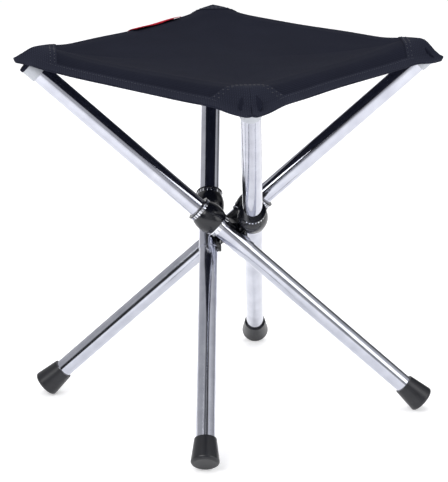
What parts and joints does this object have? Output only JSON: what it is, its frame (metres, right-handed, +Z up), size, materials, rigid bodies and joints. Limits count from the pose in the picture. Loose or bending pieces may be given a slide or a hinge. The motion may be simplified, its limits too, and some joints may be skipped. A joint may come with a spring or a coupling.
{
  "type": "camp stool",
  "caption": "Folding camp stool with crossed telescopic tube legs on a central hub, rubber feet and a square cloth seat hung from its corners.",
  "frame": {"origin": "centre of the stool at floor level", "axes": "+Z up; leg 1 leans towards -X and its pivot is at -Y of the hub"},
  "size_m": [0.4028, 0.4028, 0.3611],
  "materials": {
    "polished_steel": "polished stainless tube",
    "lower_tube_steel": "polished stainless tube",
    "plated_ring": "bright plated",
    "rivet_steel": "zinc plated",
    "black_nylon": "moulded, semi gloss",
    "grey_cap": "satin",
    "black_rubber": "moulded, satin",
    "seat_cloth": "coated oxford weave",
    "red_tab": "satin ribbon"
  },
  "bodies": {
    "hub": {"hub_block": "black_nylon", "pivot_rivets": "rivet_steel", "pivot_washers": "rivet_steel"},
    "leg_1": {"outer_tube_1": "polished_steel", "knuckle_1": "black_nylon", "lower_ring_1": "plated_ring", "wave_ring_1": "plated_ring", "flange_ring_1": "black_nylon", "top_cap_1": "grey_cap", "corner_pocket_1": "seat_cloth"},
    "slider_1": {"inner_tube_1": "lower_tube_steel", "glide_plug_1": "black_nylon", "foot_1": "black_rubber"},
    "leg_2": {"outer_tube_2": "polished_steel", "knuckle_2": "black_nylon", "lower_ring_2": "plated_ring", "wave_ring_2": "plated_ring", "flange_ring_2": "black_nylon", "top_cap_2": "grey_cap", "corner_pocket_2": "seat_cloth"},
    "slider_2": {"inner_tube_2": "lower_tube_steel", "glide_plug_2": "black_nylon", "foot_2": "black_rubber"},
    "leg_3": {"outer_tube_3": "polished_steel", "knuckle_3": "black_nylon", "lower_ring_3": "plated_ring", "wave_ring_3": "plated_ring", "flange_ring_3": "black_nylon", "top_cap_3": "grey_cap", "corner_pocket_3": "seat_cloth"},
    "slider_3": {"inner_tube_3": "lower_tube_steel", "glide_plug_3": "black_nylon", "foot_3": "black_rubber"},
    "leg_4": {"outer_tube_4": "polished_steel", "knuckle_4": "black_nylon", "lower_ring_4": "plated_ring", "wave_ring_4": "plated_ring", "flange_ring_4": "black_nylon", "top_cap_4": "grey_cap", "corner_pocket_4": "seat_cloth"},
    "slider_4": {"inner_tube_4": "lower_tube_steel", "glide_plug_4": "black_nylon", "foot_4": "black_rubber"},
    "panel_1a": {"seat_panel_1a": "seat_cloth"},
    "panel_1b": {"seat_panel_1b": "seat_cloth"},
    "panel_2a": {"seat_panel_2a": "seat_cloth"},
    "panel_2b": {"seat_panel_2b": "seat_cloth", "seat_tab": "red_tab"},
    "panel_3a": {"seat_panel_3a": "seat_cloth"},
    "panel_3b": {"seat_panel_3b": "seat_cloth"},
    "panel_4a": {"seat_panel_4a": "seat_cloth"},
    "panel_4b": {"seat_panel_4b": "seat_cloth"}
  },
  "joints": [
    {"name": "leg_fold_1", "type": "hinge", "parent": "hub", "child": "leg_1", "pos_m": [0, -0.0215, 0.17809], "axis": [0, 1, 0], "range_deg": [0, 47.9], "deforming": ["seat_panel_1a", "seat_panel_1b", "seat_panel_2a", "seat_panel_2b", "seat_panel_3a", "seat_panel_3b", "seat_panel_4a", "seat_panel_4b", "seat_tab"]},
    {"name": "leg_slide_1", "type": "slide", "parent": "leg_1", "child": "slider_1", "axis": [-0.7431, 0, 0.6691], "range_m": [0, 0.2]},
    {"name": "leg_fold_2", "type": "hinge", "parent": "hub", "child": "leg_2", "pos_m": [-0.0215, 0, 0.17809], "axis": [1, 0, 0], "range_deg": [0, 47.9]},
    {"name": "leg_slide_2", "type": "slide", "parent": "leg_2", "child": "slider_2", "axis": [0, 0.7431, 0.6691], "range_m": [0, 0.2]},
    {"name": "leg_fold_3", "type": "hinge", "parent": "hub", "child": "leg_3", "pos_m": [0, 0.0215, 0.17809], "axis": [0, -1, 0], "range_deg": [0, 47.9]},
    {"name": "leg_slide_3", "type": "slide", "parent": "leg_3", "child": "slider_3", "axis": [0.7431, 0, 0.6691], "range_m": [0, 0.2]},
    {"name": "leg_fold_4", "type": "hinge", "parent": "hub", "child": "leg_4", "pos_m": [0.0215, 0, 0.17809], "axis": [-1, 0, 0], "range_deg": [0, 47.9]},
    {"name": "leg_slide_4", "type": "slide", "parent": "leg_4", "child": "slider_4", "axis": [0, -0.7431, 0.6691], "range_m": [0, 0.2]},
    {"name": "seat_fold_1a", "type": "hinge", "parent": "leg_1", "child": "panel_1a", "pos_m": [-0.20768, -0.02338, 0.35085], "axis": [-0.9316, 0.1515, 0.3304], "range_deg": [0, 105.62]},
    {"name": "seat_fold_1b", "type": "hinge", "parent": "leg_1", "child": "panel_1b", "pos_m": [-0.20768, -0.02338, 0.35085], "axis": [-0.5345, 0.8237, 0.1895], "range_deg": [0, 43.43]},
    {"name": "seat_fold_2a", "type": "hinge", "parent": "leg_2", "child": "panel_2a", "pos_m": [-0.02338, 0.20768, 0.35085], "axis": [0.1515, 0.9316, 0.3304], "range_deg": [0, 105.62]},
    {"name": "seat_fold_2b", "type": "hinge", "parent": "leg_2", "child": "panel_2b", "pos_m": [-0.02338, 0.20768, 0.35085], "axis": [0.8237, 0.5345, 0.1895], "range_deg": [0, 43.43]},
    {"name": "seat_fold_3a", "type": "hinge", "parent": "leg_3", "child": "panel_3a", "pos_m": [0.20768, 0.02338, 0.35085], "axis": [0.9316, -0.1515, 0.3304], "range_deg": [0, 105.62]},
    {"name": "seat_fold_3b", "type": "hinge", "parent": "leg_3", "child": "panel_3b", "pos_m": [0.20768, 0.02338, 0.35085], "axis": [0.5345, -0.8237, 0.1895], "range_deg": [0, 43.43]},
    {"name": "seat_fold_4a", "type": "hinge", "parent": "leg_4", "child": "panel_4a", "pos_m": [0.02338, -0.20768, 0.35085], "axis": [-0.1515, -0.9316, 0.3304], "range_deg": [0, 105.62]},
    {"name": "seat_fold_4b", "type": "hinge", "parent": "leg_4", "child": "panel_4b", "pos_m": [0.02338, -0.20768, 0.35085], "axis": [-0.8237, -0.5345, 0.1895], "range_deg": [0, 43.43]}
  ],
  "couplings": [
    {"joint": "leg_fold_2", "follows": "leg_fold_1", "ratio": 1},
    {"joint": "leg_fold_3", "follows": "leg_fold_1", "ratio": 1},
    {"joint": "leg_fold_4", "follows": "leg_fold_1", "ratio": 1},
    {"joint": "seat_fold_1a", "follows": "leg_fold_1", "ratio": 2.2028},
    {"joint": "seat_fold_1b", "follows": "leg_fold_1", "ratio": 0.90579},
    {"joint": "seat_fold_2a", "follows": "leg_fold_1", "ratio": 2.2028},
    {"joint": "seat_fold_2b", "follows": "leg_fold_1", "ratio": 0.90579},
    {"joint": "seat_fold_3a", "follows": "leg_fold_1", "ratio": 2.2028},
    {"joint": "seat_fold_3b", "follows": "leg_fold_1", "ratio": 0.90579},
    {"joint": "seat_fold_4a", "follows": "leg_fold_1", "ratio": 2.2028},
    {"joint": "seat_fold_4b", "follows": "leg_fold_1", "ratio": 0.90579}
  ]
}
